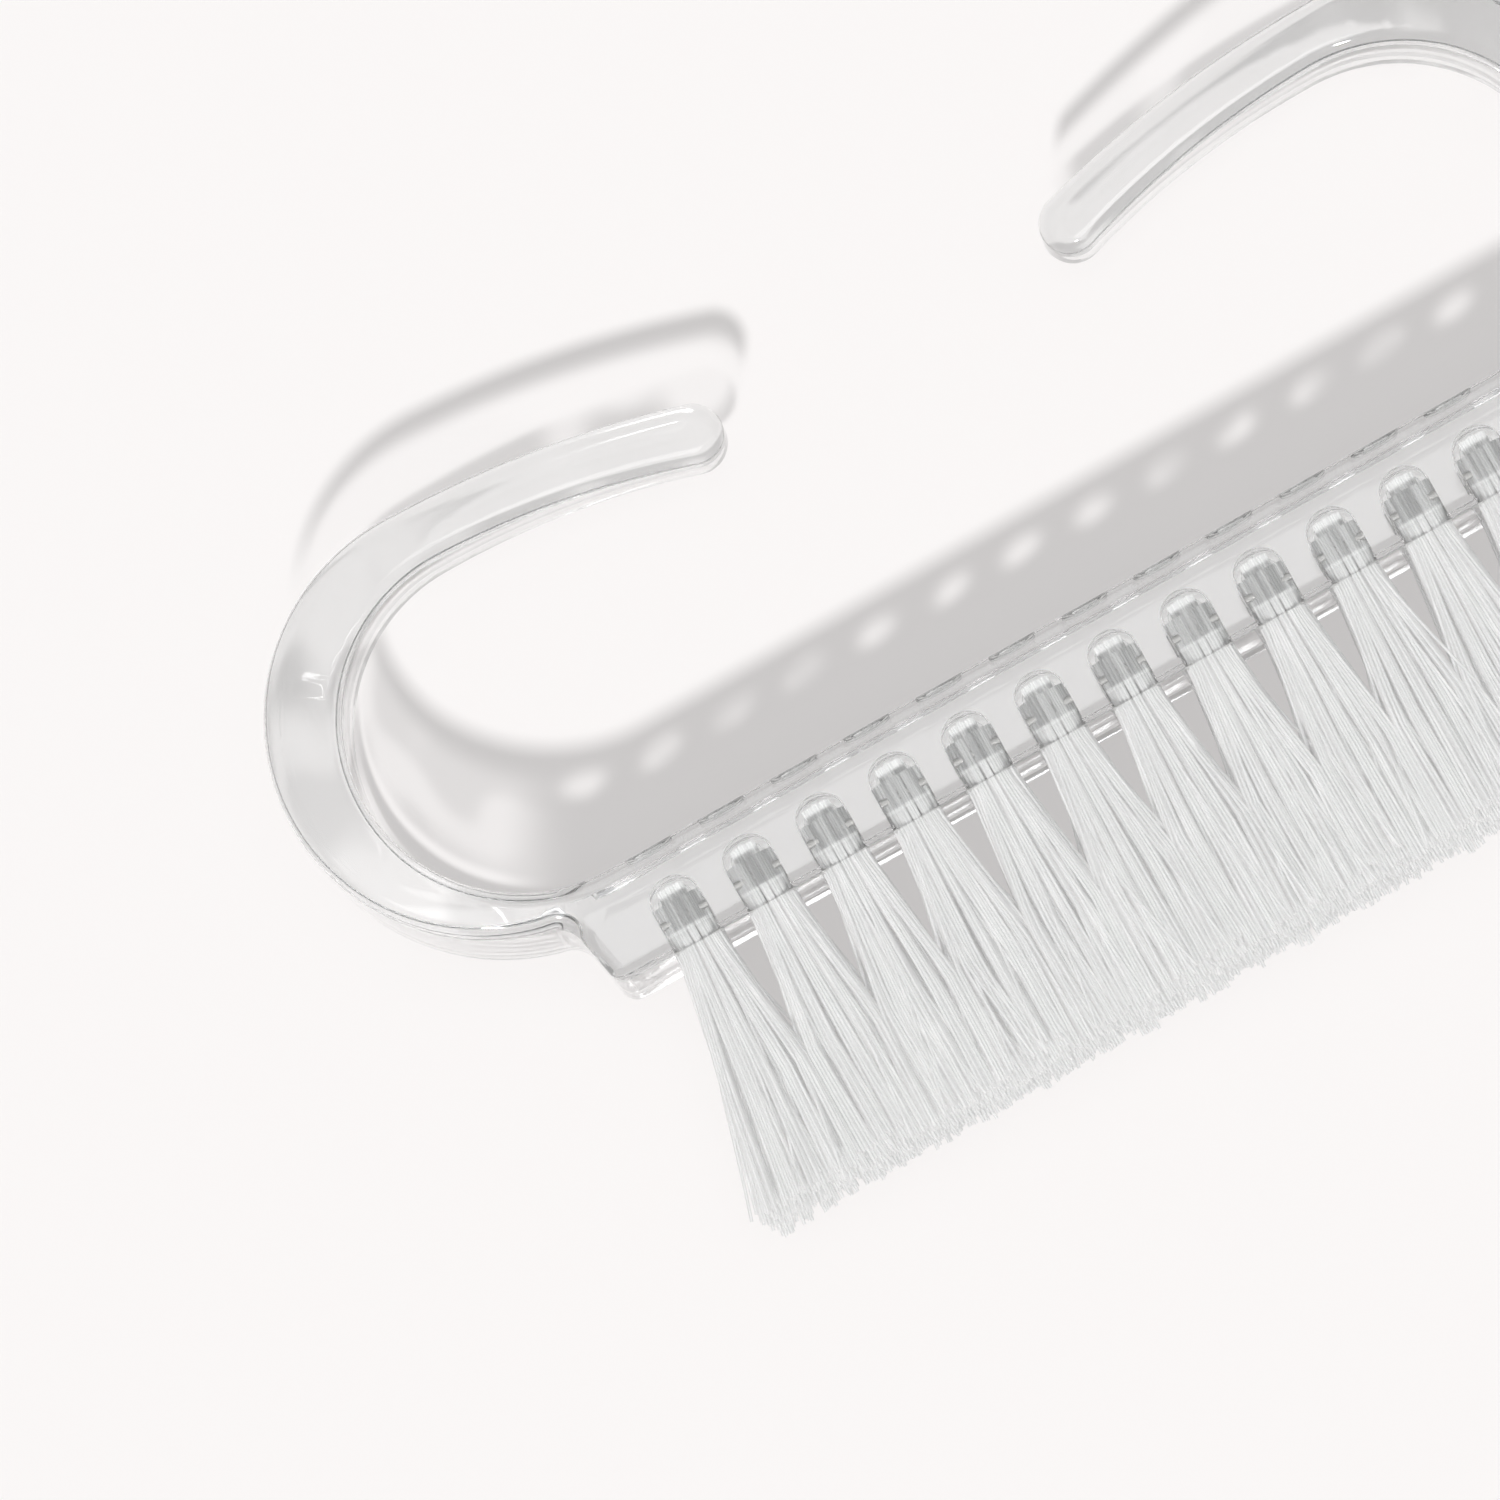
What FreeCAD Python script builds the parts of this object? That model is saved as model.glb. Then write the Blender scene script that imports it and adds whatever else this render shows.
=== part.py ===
import FreeCAD, Part
import math
import os

# Clear nail brush lying on its side, in millimetres.
# X runs along the brush, Y from the bristle tips up to the handle, Z up through its depth.
# Heights named here are measured along Y from the underside of the block.

# Block that holds the tufts
BLOCK_LENGTH = 50.4
BLOCK_HEIGHT = 4.7
BLOCK_DEPTH = 13.0
END_DRAFT = 0.9
EDGE_RADIUS = 0.75

# Tuft holes, on a square grid
COLUMNS = 12
ROWS = 3
PITCH = 3.69
HOLE_DIAMETER = 2.3
HOLE_DEPTH = 2.75
HOLE_POINT = 0.55

# Bristle tufts, which spread from a round root until they meet their neighbours
ROOT_DIAMETER = 2.2
TIP_DIAMETER = 4.9
BRISTLE_LENGTH = 12.5
END_LEAN = 0.9
ROW_LEAN = 0.3
TUFT_GAP = 0.08

# Strands of a tuft, each a clump of filaments, on a square grid with ragged tips
STRANDS_ACROSS = 5
STRAND_ROOT_RADIUS = 0.14
STRAND_TIP_RADIUS = 0.26
STRAND_SINK = 0.3
STRAND_SHIFT = 0.07
RAGGED_SHARE = 0.07

# Flat metal anchors that pin the folded tufts in their holes, each under the fold of its tuft
ANCHOR_WIDTH = 2.6
ANCHOR_HEIGHT = 1.65
ANCHOR_THICKNESS = 0.35
FOLD_THICKNESS = 0.55

# Handle arms: a ring at each end of the block, then a long gentle bow to the tip
RING_CENTRE_X = 23.4
RING_CENTRE_HEIGHT = 13.35
RING_OUTER_RADIUS = 10.1
RING_INNER_RADIUS = 8.0
RING_INNER_CENTRE_X = 22.2
RING_SINK = 0.05
BOW_OUTER_RADIUS = 52.0
BOW_INNER_RADIUS = 40.0
TIP_CORNER_X = 9.2
TIP_SLANT = 0.78
GUSSET_RADIUS = 1.2
ARM_INSET = 0.45
ARM_INSET_PER_HEIGHT = 0.12
ARM_INSET_PER_X = 0.1

# Worked out from the sizes above
HANDLE_TOP = RING_CENTRE_HEIGHT + RING_OUTER_RADIUS
MIDDLE_HEIGHT = (HANDLE_TOP - BRISTLE_LENGTH) / 2
MIDDLE_DEPTH = BLOCK_DEPTH / 2
RING_INNER_CENTRE_HEIGHT = BLOCK_HEIGHT - RING_SINK + RING_INNER_RADIUS
TUFT_ROOM = (PITCH - TUFT_GAP) / 2
MEETING_SHARE = (2 * TUFT_ROOM - ROOT_DIAMETER) / (TIP_DIAMETER - ROOT_DIAMETER)
GOLDEN_RATIO = (math.sqrt(5) - 1) / 2
NEARLY_ALL = 0.99

UP = FreeCAD.Vector(0, 1, 0)
ACROSS = FreeCAD.Vector(0, 0, 1)


def point(x, height, depth=0.0):
    """Point of the frame at a height above the underside of the block."""
    return FreeCAD.Vector(x, height - MIDDLE_HEIGHT, depth)


def arc(first, middle, last):
    """Edge of the arc through three points."""
    return Part.Arc(first, middle, last).toShape()


def on_circle(centre, radius, degrees):
    """Point of a circle in the XY plane."""
    turn = math.radians(degrees)
    return centre + FreeCAD.Vector(radius * math.cos(turn), radius * math.sin(turn), 0)


def bow_point(centre, radius, x):
    """Point at x on the upper side of a bow."""
    return FreeCAD.Vector(x, centre.y + math.sqrt(radius ** 2 - (x - centre.x) ** 2), 0)


def bow(centre, radius, first, last):
    """Edge of a bow between two of its points."""
    middle = bow_point(centre, radius, (first.x + last.x) / 2)
    return arc(first, middle, last)


def gusset(ring_centre):
    """Hollow arc between the ring and the end wall of the block, with its two end points."""
    wall_x = -(BLOCK_LENGTH - END_DRAFT) / 2
    reach = RING_OUTER_RADIUS + GUSSET_RADIUS
    centre_x = wall_x - GUSSET_RADIUS
    drop = math.sqrt(reach ** 2 - (centre_x - ring_centre.x) ** 2)
    centre = FreeCAD.Vector(centre_x, ring_centre.y - drop, 0)
    to_ring = (ring_centre - centre).normalize()
    to_wall = FreeCAD.Vector(1, 0, 0)
    halfway = (to_ring + to_wall).normalize()
    on_ring = centre + to_ring * GUSSET_RADIUS
    on_wall = centre + to_wall * GUSSET_RADIUS
    return arc(on_ring, centre + halfway * GUSSET_RADIUS, on_wall), on_ring, on_wall


def arm_profile():
    """Side face of the left arm, from its root inside the block to its round tip."""
    outer_centre = point(-RING_CENTRE_X, RING_CENTRE_HEIGHT)
    inner_centre = point(-RING_INNER_CENTRE_X, RING_INNER_CENTRE_HEIGHT)
    inner_foot = on_circle(inner_centre, RING_INNER_RADIUS, 270)
    inner_top = on_circle(inner_centre, RING_INNER_RADIUS, 90)
    outer_top = on_circle(outer_centre, RING_OUTER_RADIUS, 90)
    inner_bow_centre = inner_top - UP * BOW_INNER_RADIUS
    outer_bow_centre = outer_top - UP * BOW_OUTER_RADIUS
    outer_tip = bow_point(outer_bow_centre, BOW_OUTER_RADIUS, -TIP_CORNER_X)
    inner_tip = bow_point(inner_bow_centre, BOW_INNER_RADIUS, -TIP_CORNER_X - TIP_SLANT)
    tip_side = (outer_tip - inner_tip) * 0.5
    tip_middle = inner_tip + tip_side + tip_side.cross(ACROSS)
    gusset_edge, on_ring, on_wall = gusset(outer_centre)
    root_corner = FreeCAD.Vector(inner_foot.x, on_wall.y, 0)
    edges = [
        arc(inner_foot, on_circle(inner_centre, RING_INNER_RADIUS, 180), inner_top),
        bow(inner_bow_centre, BOW_INNER_RADIUS, inner_top, inner_tip),
        arc(inner_tip, tip_middle, outer_tip),
        bow(outer_bow_centre, BOW_OUTER_RADIUS, outer_tip, outer_top),
        arc(outer_top, on_circle(outer_centre, RING_OUTER_RADIUS, 180), on_ring),
        gusset_edge,
        Part.makeLine(on_wall, root_corner),
        Part.makeLine(root_corner, inner_foot),
    ]
    return Part.Face(Part.Wire(edges))


def arm_inset(x, y):
    """Distance of the left arm's flat sides from the sides of the block."""
    rise = y - point(0, BLOCK_HEIGHT).y
    run = x + BLOCK_LENGTH / 2
    return ARM_INSET + ARM_INSET_PER_HEIGHT * rise + ARM_INSET_PER_X * run


def arm_trims():
    """Wedges that draw the left arm in from both sides towards its tip."""
    left = -BLOCK_LENGTH
    low = point(0, -BRISTLE_LENGTH).y
    high = point(0, HANDLE_TOP + BLOCK_HEIGHT).y
    corners = [(left, low), (0, low), (0, high), (left, high), (left, low)]
    lower_edge = [FreeCAD.Vector(x, y, arm_inset(x, y)) for x, y in corners]
    upper_edge = [FreeCAD.Vector(x, y, BLOCK_DEPTH - arm_inset(x, y)) for x, y in corners]
    lower = Part.Face(Part.makePolygon(lower_edge)).extrude(ACROSS * -BLOCK_DEPTH)
    upper = Part.Face(Part.makePolygon(upper_edge)).extrude(ACROSS * BLOCK_DEPTH)
    return [lower, upper]


def runs_across(edge):
    """Say whether an edge runs straight through the depth."""
    span = edge.lastVertex().Point - edge.firstVertex().Point
    return abs(span.z) > NEARLY_ALL * edge.Length


def left_arm():
    """Left handle arm with its long edges rounded."""
    side = arm_profile().extrude(ACROSS * BLOCK_DEPTH)
    solid = side.cut(arm_trims()).Solids[0]
    long_edges = [edge for edge in solid.Edges if not runs_across(edge)]
    return solid.makeFillet(EDGE_RADIUS, long_edges)


def block():
    """Solid block with slanted ends and all its edges rounded."""
    top = BLOCK_LENGTH / 2
    bottom = top - END_DRAFT
    corners = [point(-top, BLOCK_HEIGHT), point(top, BLOCK_HEIGHT), point(bottom, 0), point(-bottom, 0)]
    side = Part.Face(Part.makePolygon(corners + corners[:1]))
    solid = side.extrude(ACROSS * BLOCK_DEPTH)
    return solid.makeFillet(EDGE_RADIUS, solid.Edges)


def tuft_places():
    """Row number, column number, x and depth of every tuft."""
    for row in range(ROWS):
        for column in range(COLUMNS):
            x = (column - (COLUMNS - 1) / 2) * PITCH
            depth = MIDDLE_DEPTH + (row - (ROWS - 1) / 2) * PITCH
            yield row + 1, column + 1, x, depth


def hole(x, depth):
    """Blind hole with a drill point, open at the underside of the block."""
    radius = HOLE_DIAMETER / 2
    shaft = Part.makeCylinder(radius, HOLE_DEPTH, point(x, 0, depth), UP)
    drill_point = Part.makeCone(radius, 0, HOLE_POINT, point(x, HOLE_DEPTH, depth), UP)
    return shaft.fuse(drill_point)


def anchor(x, depth):
    """Anchor plate under the fold of a tuft, wider than the hole so that it bites."""
    low = HOLE_DEPTH - FOLD_THICKNESS - ANCHOR_HEIGHT
    corner = point(x - ANCHOR_WIDTH / 2, low, depth - ANCHOR_THICKNESS / 2)
    return Part.makeBox(ANCHOR_WIDTH, ANCHOR_HEIGHT, ANCHOR_THICKNESS, corner)


def outward(number, count):
    """Side of the grid that a row or column lies on: -1 first, 1 last, 0 inside."""
    if number == 1:
        return -1
    if number == count:
        return 1
    return 0


def tuft_reach(share, free, lean):
    """Reach of a tuft to one side of its hole's axis, at a share of its length."""
    spread = (TIP_DIAMETER - ROOT_DIAMETER) / 2
    if free:
        return ROOT_DIAMETER / 2 + share * (spread + lean)
    return min(ROOT_DIAMETER / 2 + share * spread, TUFT_ROOM)


def across(share, side, lean, place, margin):
    """Distance from the hole's axis of a place that runs from -1 to 1 across a tuft."""
    low = tuft_reach(share, side < 0, lean)
    high = tuft_reach(share, side > 0, lean)
    return (high - low) / 2 + place * ((high + low) / 2 - margin)


def strand_places():
    """Places of the strands across a tuft: in its round root, and in the square that it spreads to."""
    half = (STRANDS_ACROSS - 1) / 2
    for column in range(STRANDS_ACROSS):
        for row in range(STRANDS_ACROSS):
            square = FreeCAD.Vector((column - half) / half, 0, (row - half) / half)
            ring = max(abs(square.x), abs(square.z))
            round_place = FreeCAD.Vector(square)
            if ring > 0:
                round_place.normalize().multiply(ring)
            yield round_place, square


def strand(number, x, depth, side_x, side_z, root_place, tip_place):
    """One strand, from inside the root of its tuft to its own tip."""
    turn = 2 * math.pi * GOLDEN_RATIO * number
    tip_share = 1 - RAGGED_SHARE * (number * GOLDEN_RATIO % 1)
    rings = []
    for share, place in ((0, root_place), (MEETING_SHARE, tip_place), (tip_share, tip_place)):
        radius = STRAND_ROOT_RADIUS + share * (STRAND_TIP_RADIUS - STRAND_ROOT_RADIUS)
        shift = STRAND_SHIFT * share
        run_x = across(share, side_x, END_LEAN, place.x, radius + shift) + shift * math.cos(turn)
        run_z = across(share, side_z, ROW_LEAN, place.z, radius + shift) + shift * math.sin(turn)
        height = STRAND_SINK - share * (BRISTLE_LENGTH + STRAND_SINK)
        ring = Part.Circle(point(x + run_x, height, depth + run_z), UP, radius)
        rings.append(Part.Wire(ring.toShape()))
    return Part.makeLoft(rings, True, True)


def tuft(row, column, x, depth):
    """Tuft folded round its anchor, with strands that spread until they meet its neighbours."""
    side_x = outward(column, COLUMNS)
    side_z = outward(row, ROWS)
    first = (row - 1) * COLUMNS + column - 1
    strands = []
    for root_place, tip_place in strand_places():
        number = first * STRANDS_ACROSS ** 2 + len(strands)
        strands.append(strand(number, x, depth, side_x, side_z, root_place, tip_place))
    root = Part.makeCylinder(ROOT_DIAMETER / 2, HOLE_DEPTH, point(x, 0, depth), UP)
    return root.fuse(strands).cut(anchor(x, depth)).removeSplitter()


def body(places):
    """Block and both arms as the one clear moulding that they are."""
    arm = left_arm()
    other_arm = arm.mirror(FreeCAD.Vector(0, 0, 0), FreeCAD.Vector(1, 0, 0))
    solid = block().fuse([arm, other_arm]).removeSplitter()
    cutters = [hole(x, depth) for row, column, x, depth in places]
    cutters += [anchor(x, depth) for row, column, x, depth in places]
    return solid.cut(Part.makeCompound(cutters)).Solids[0]


def write(name, shape):
    """Write one node and print its measure."""
    box = shape.BoundBox
    print(name, "valid", shape.isValid(), "solids", len(shape.Solids), "volume", round(shape.Volume, 2),
          "x", round(box.XMin, 2), round(box.XMax, 2), "y", round(box.YMin, 2), round(box.YMax, 2),
          "z", round(box.ZMin, 2), round(box.ZMax, 2))
    shape.exportStep("parts/" + name + ".step")


def main():
    os.makedirs("parts", exist_ok=True)
    places = list(tuft_places())
    write("body", body(places))
    for row, column, x, depth in places:
        write("tuft_row{}_{:02d}".format(row, column), tuft(row, column, x, depth))
    for number in range(1, ROWS + 1):
        plates = [anchor(x, depth) for row, column, x, depth in places if row == number]
        write("anchors_row{}".format(number), Part.makeCompound(plates))


main()
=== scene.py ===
"""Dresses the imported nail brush: clear body, nylon tufts, metal anchors, table, light and camera."""

from __future__ import annotations

import logging
import math
from dataclasses import dataclass, replace
from enum import Enum
from typing import Any, Iterator, Sequence

import bmesh
import bpy
from mathutils import Matrix, Vector

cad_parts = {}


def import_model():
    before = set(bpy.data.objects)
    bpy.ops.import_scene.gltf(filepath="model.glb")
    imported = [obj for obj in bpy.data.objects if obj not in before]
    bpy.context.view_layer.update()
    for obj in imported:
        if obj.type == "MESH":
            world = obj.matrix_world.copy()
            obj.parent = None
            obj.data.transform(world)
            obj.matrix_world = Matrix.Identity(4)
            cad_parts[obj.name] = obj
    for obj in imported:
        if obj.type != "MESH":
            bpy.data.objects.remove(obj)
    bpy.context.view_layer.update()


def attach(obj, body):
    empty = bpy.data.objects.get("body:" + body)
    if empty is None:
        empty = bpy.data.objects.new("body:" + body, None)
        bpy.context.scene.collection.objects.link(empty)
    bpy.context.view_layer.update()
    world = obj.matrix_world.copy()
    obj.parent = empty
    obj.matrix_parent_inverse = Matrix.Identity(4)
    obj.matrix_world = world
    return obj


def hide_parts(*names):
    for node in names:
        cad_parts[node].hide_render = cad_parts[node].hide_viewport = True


LOG = logging.getLogger("nail_brush")
MM = 0.001
ROOT_BODY = "root"
MERGE_DISTANCE = 1e-7
HALF = 0.5
QUARTER_TURN = math.pi / 2
FULL_TURN = 2 * math.pi
GOLDEN_ANGLE = math.pi * (3.0 - math.sqrt(5.0))
GOLDEN_RATIO = (math.sqrt(5.0) - 1.0) / 2.0


class Slot(Enum):
    """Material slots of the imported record."""

    CLEAR = "clear_plastic"
    BRISTLE = "nylon_bristle"
    ANCHOR = "anchor_metal"


class Draw(Enum):
    """What a random number of a filament decides."""

    WEAR = 1
    STRAY = 2
    HEADING = 3


class NodeDesk:
    """Short ways to add and wire the nodes of one tree."""

    def __init__(self, tree: bpy.types.NodeTree) -> None:
        """Keeps the tree that the nodes go into.

        Args:
            tree: Shader or geometry tree.
        """
        self.tree = tree

    def feed(self, socket: bpy.types.NodeSocket, value: Any) -> None:
        """Gives an input its value, or wires it to an output.

        Args:
            socket: Input to set.
            value: Plain value, or an output socket.
        """
        if isinstance(value, bpy.types.NodeSocket):
            self.tree.links.new(value, socket)
        else:
            socket.default_value = value

    def add(self, kind: str, inputs: dict[str | int, Any] | None = None, **settings: Any) -> bpy.types.Node:
        """Adds a node.

        Args:
            kind: Blender's name of the node type.
            inputs: Values or output sockets by input name or number.
            settings: Properties of the node.

        Returns:
            The new node.
        """
        node = self.tree.nodes.new(kind)
        for name, value in settings.items():
            setattr(node, name, value)
        for key, value in (inputs or {}).items():
            self.feed(node.inputs[key], value)
        return node

    def math(self, operation: str, first: Any, second: Any = 0.0) -> bpy.types.NodeSocket:
        """Adds a sum on one or two numbers.

        Args:
            operation: Name of the sum.
            first: First number or socket.
            second: Second number or socket.

        Returns:
            The output socket.
        """
        return self.add("ShaderNodeMath", {0: first, 1: second}, operation=operation).outputs[0]

    def vector(self, operation: str, first: Any, second: Any) -> bpy.types.NodeSocket:
        """Adds a sum on two vectors.

        Args:
            operation: Name of the sum.
            first: First vector or socket.
            second: Second vector or socket.

        Returns:
            The output socket.
        """
        return self.add("ShaderNodeVectorMath", {0: first, 1: second}, operation=operation).outputs[0]

    def axes(self, vector: Any) -> tuple[bpy.types.NodeSocket, ...]:
        """Splits a vector into its three numbers.

        Args:
            vector: Vector socket.

        Returns:
            The sockets of X, Y and Z.
        """
        return tuple(self.add("ShaderNodeSeparateXYZ", {0: vector}).outputs)

    def coords(self) -> bpy.types.NodeSocket:
        """Adds the place on the piece, in the frame's metres."""
        return self.add("ShaderNodeTexCoord").outputs["Object"]

    def noise(self, place: Any, scale: float, detail: float) -> bpy.types.NodeSocket:
        """Adds soft noise from 0 to 1.

        Args:
            place: Socket of the place.
            scale: Number of blobs in a metre.
            detail: How many finer layers it has.

        Returns:
            The output socket.
        """
        inputs = {"Vector": place, "Scale": scale, "Detail": detail}
        return self.add("ShaderNodeTexNoise", inputs).outputs["Fac"]

    def ramp(self, value: Any, low: float, high: float) -> bpy.types.NodeSocket:
        """Adds a soft step from 0 at the low value to 1 at the high one.

        Args:
            value: Number or socket.
            low: Where the step starts.
            high: Where the step ends.

        Returns:
            The output socket.
        """
        limits = {"Value": value, "From Min": low, "From Max": high}
        return self.add("ShaderNodeMapRange", limits, interpolation_type="SMOOTHSTEP").outputs[0]

    def tint(self, first: Any, second: Any, share: Any) -> bpy.types.NodeSocket:
        """Adds a blend of two colours.

        Args:
            first: Colour at share 0.
            second: Colour at share 1.
            share: Share of the second colour.

        Returns:
            The output socket.
        """
        inputs = {"Factor": share, "A": first, "B": second}
        return self.add("ShaderNodeMix", inputs, data_type="RGBA").outputs["Result"]

    def mix(self, first: Any, second: Any, share: Any) -> bpy.types.NodeSocket:
        """Adds a blend of two shaders.

        Args:
            first: Shader at share 0.
            second: Shader at share 1.
            share: Share of the second shader.

        Returns:
            The output socket.
        """
        return self.add("ShaderNodeMixShader", {0: share, 1: first, 2: second}).outputs[0]

    def blend(self, low: Any, high: Any, share: Any) -> bpy.types.NodeSocket:
        """Adds a straight blend of two numbers.

        Args:
            low: Number at share 0.
            high: Number at share 1.
            share: Share of the second number.

        Returns:
            The output socket.
        """
        return self.add("ShaderNodeMix", {"Factor": share, "A": low, "B": high}).outputs["Result"]

    def path(self, first: Any, last: Any, share: Any) -> bpy.types.NodeSocket:
        """Adds a point on the straight path between two points.

        Args:
            first: Point at share 0.
            last: Point at share 1.
            share: Share of the path.

        Returns:
            The vector socket.
        """
        inputs = {"Factor": share, "A": first, "B": last}
        return self.add("ShaderNodeMix", inputs, data_type="VECTOR").outputs["Result"]


def new_material(name: str) -> tuple[bpy.types.Material, NodeDesk, bpy.types.Node]:
    """Makes an empty node material.

    Args:
        name: Name of the material.

    Returns:
        The material, a desk for its tree and its output node.
    """
    material = bpy.data.materials.new(name)
    material.use_nodes = True
    material.node_tree.nodes.clear()
    desk = NodeDesk(material.node_tree)
    return material, desk, desk.add("ShaderNodeOutputMaterial")


@dataclass(frozen=True)
class BrushSizes:
    """Sizes that the pieces share, in millimetres. Heights run from the underside of the block."""

    block_length: float = 50.4
    block_height: float = 4.7
    block_depth: float = 13.0
    edge_radius: float = 0.75
    arm_inset: float = 0.45
    arm_inset_per_height: float = 0.12
    arm_inset_per_x: float = 0.1
    columns: int = 12
    rows: int = 3
    pitch: float = 3.69
    hole_diameter: float = 2.3
    hole_depth: float = 2.75
    hole_point: float = 0.55
    bristle_length: float = 12.5
    handle_top: float = 23.45

    @property
    def middle_height(self) -> float:
        """Height of the middle of the brush, where the frame has its origin."""
        return (self.handle_top - self.bristle_length) / 2

    def place(self, x: float, height: float, depth: float) -> Vector:
        """Turns a place on the brush into the frame's metres.

        Args:
            x: Distance along the brush.
            height: Height above the underside of the block.
            depth: Depth above the table.

        Returns:
            The point in metres.
        """
        return Vector((x, height - self.middle_height, depth)) * MM

    def tuft_places(self) -> Iterator[tuple[int, int, float, float]]:
        """Goes through the grid of tufts.

        Returns:
            Row number, column number, x and depth of each tuft.
        """
        for row in range(self.rows):
            for column in range(self.columns):
                x = (column - (self.columns - 1) / 2) * self.pitch
                depth = self.block_depth / 2 + (row - (self.rows - 1) / 2) * self.pitch
                yield row + 1, column + 1, x, depth


@dataclass(frozen=True)
class ClearPlastic:
    """Clear moulded plastic with faint flow waves, with painted light and shade in the lamp light that it
    lets through.

    How much lamp light reaches the table is painted: it depends on the face that it leaves the plastic by,
    the flat underside above the table that it covers or the wall beside the table that it shades, and on
    painted masks by place. Lengths and heights are in millimetres, and heights run from the underside of
    the block.
    """

    # Colour with painted shade that darkens it towards the arm tips, gloss and flow waves.
    tint: tuple[float, float, float, float] = (0.985, 0.99, 0.99, 1.0)
    high_shade_tint: tuple[float, float, float, float] = (0.895, 0.9, 0.9, 1.0)
    shade_starts: float = 8.0
    shade_full: float = 20.0
    clearness: float = 0.96
    refraction: float = 1.49
    hole_refraction: float = 1.035
    roughness: float = 0.03
    wave_scale: float = 160.0
    wave_detail: float = 1.0
    wave_depth: float = 0.04
    wave_strength: float = 0.5
    # Lean of a face at which it counts as a wall or as flat, and the light that any face lets in.
    steep: float = 0.45
    flat: float = 0.75
    enter_pass: float = 0.97
    # Painted share of lamp light that leaves by the flat underside of the block, the loop and the upper
    # arm.
    block_dim: float = 0.0
    face_dim: float = 0.45
    face_bright: float = 0.9
    high_face_dim: float = 0.2
    high_starts: float = 14.0
    high_full: float = 20.0
    # Painted soft patches of lamp light, standing in for light that uneven surfaces gather.
    patch_scale: float = 150.0
    patch_detail: float = 1.0
    patch_dim: float = 0.45
    patch_bright: float = 0.57
    patch_starts: float = 3.8
    patch_full: float = 6.4
    # Painted share of lamp light that leaves by the walls of the arms: a painted dark crescent, bright line
    # and dark rim.
    arm_starts: float = 5.0
    arm_full: float = 7.0
    crescent_ends: float = 1.7
    line_starts: float = 2.3
    line_ends: float = 3.1
    line_pass: float = 0.95
    loop_dim: float = 0.4
    loop_bright: float = 0.75
    high_dim: float = 0.95
    rim_dark: float = 1.6
    rim_clear: float = 3.4
    # Painted spots of lamp light on the table, where light gets through the block between its holes.
    spot_depth: float = 9.4
    spot_shift: float = -0.7
    spot_bright: float = 0.4
    spot_edge: float = 1.5
    spot_pass: float = 0.78
    spot_uneven: float = 0.35
    spot_scale: float = 330.0
    spot_detail: float = 2.0
    spot_patch_dim: float = 0.4
    spot_patch_bright: float = 0.6

    def hole_wall(self) -> ClearPlastic:
        """The same plastic where filaments press against it, so that it hardly bends light."""
        return replace(self, refraction=self.hole_refraction)

    def climb(self, desk: NodeDesk, sizes: BrushSizes, low: float, high: float) -> bpy.types.NodeSocket:
        """Adds a soft step over two heights above the underside of the block.

        Args:
            desk: Desk of the material.
            sizes: Sizes of the brush.
            low: Height at which the step starts.
            high: Height at which it ends.

        Returns:
            The share socket.
        """
        y = desk.axes(desk.coords())[1]
        return desk.ramp(y, sizes.place(0.0, low, 0.0).y, sizes.place(0.0, high, 0.0).y)

    def surface(self, desk: NodeDesk, sizes: BrushSizes) -> bpy.types.NodeSocket:
        """Adds the refracting shader, with painted shade that darkens it towards the tips of the arms.

        Args:
            desk: Desk of the material.
            sizes: Sizes of the brush.

        Returns:
            The shader socket.
        """
        # Painted shade: the colour darkens with height towards the tips of the arms.
        painted_shade = self.climb(desk, sizes, self.shade_starts, self.shade_full)
        waves = desk.noise(desk.coords(), self.wave_scale, self.wave_detail)
        depth = self.wave_depth * MM
        relief = {"Height": waves, "Distance": depth, "Strength": self.wave_strength}
        settings = {
            "Base Color": desk.tint(self.tint, self.high_shade_tint, painted_shade),
            "Roughness": self.roughness,
            "IOR": self.refraction,
            "Transmission Weight": self.clearness,
            "Normal": desk.add("ShaderNodeBump", relief).outputs["Normal"],
        }
        return desk.add("ShaderNodeBsdfPrincipled", settings).outputs[0]

    def patches(self, desk: NodeDesk) -> bpy.types.NodeSocket:
        """Adds the painted soft patches of lamp light, where uneven surfaces would gather it.

        Args:
            desk: Desk of the material.

        Returns:
            The share socket.
        """
        noise = desk.noise(desk.coords(), self.patch_scale, self.patch_detail)
        return desk.ramp(noise, self.patch_dim, self.patch_bright)

    def flat_light(self, desk: NodeDesk, sizes: BrushSizes) -> bpy.types.NodeSocket:
        """Adds the painted share of lamp light that leaves by a flat face: painted patches under the arms
        alone.

        Args:
            desk: Desk of the material.
            sizes: Sizes of the brush.

        Returns:
            The share socket.
        """
        high = self.climb(desk, sizes, self.high_starts, self.high_full)
        off_block = self.climb(desk, sizes, self.patch_starts, self.patch_full)
        low_dim = desk.blend(self.block_dim, self.face_dim, off_block)
        dim = desk.blend(low_dim, self.high_face_dim, high)
        bright = desk.math("MULTIPLY", self.patches(desk), off_block)
        return desk.blend(dim, self.face_bright, bright)

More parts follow.
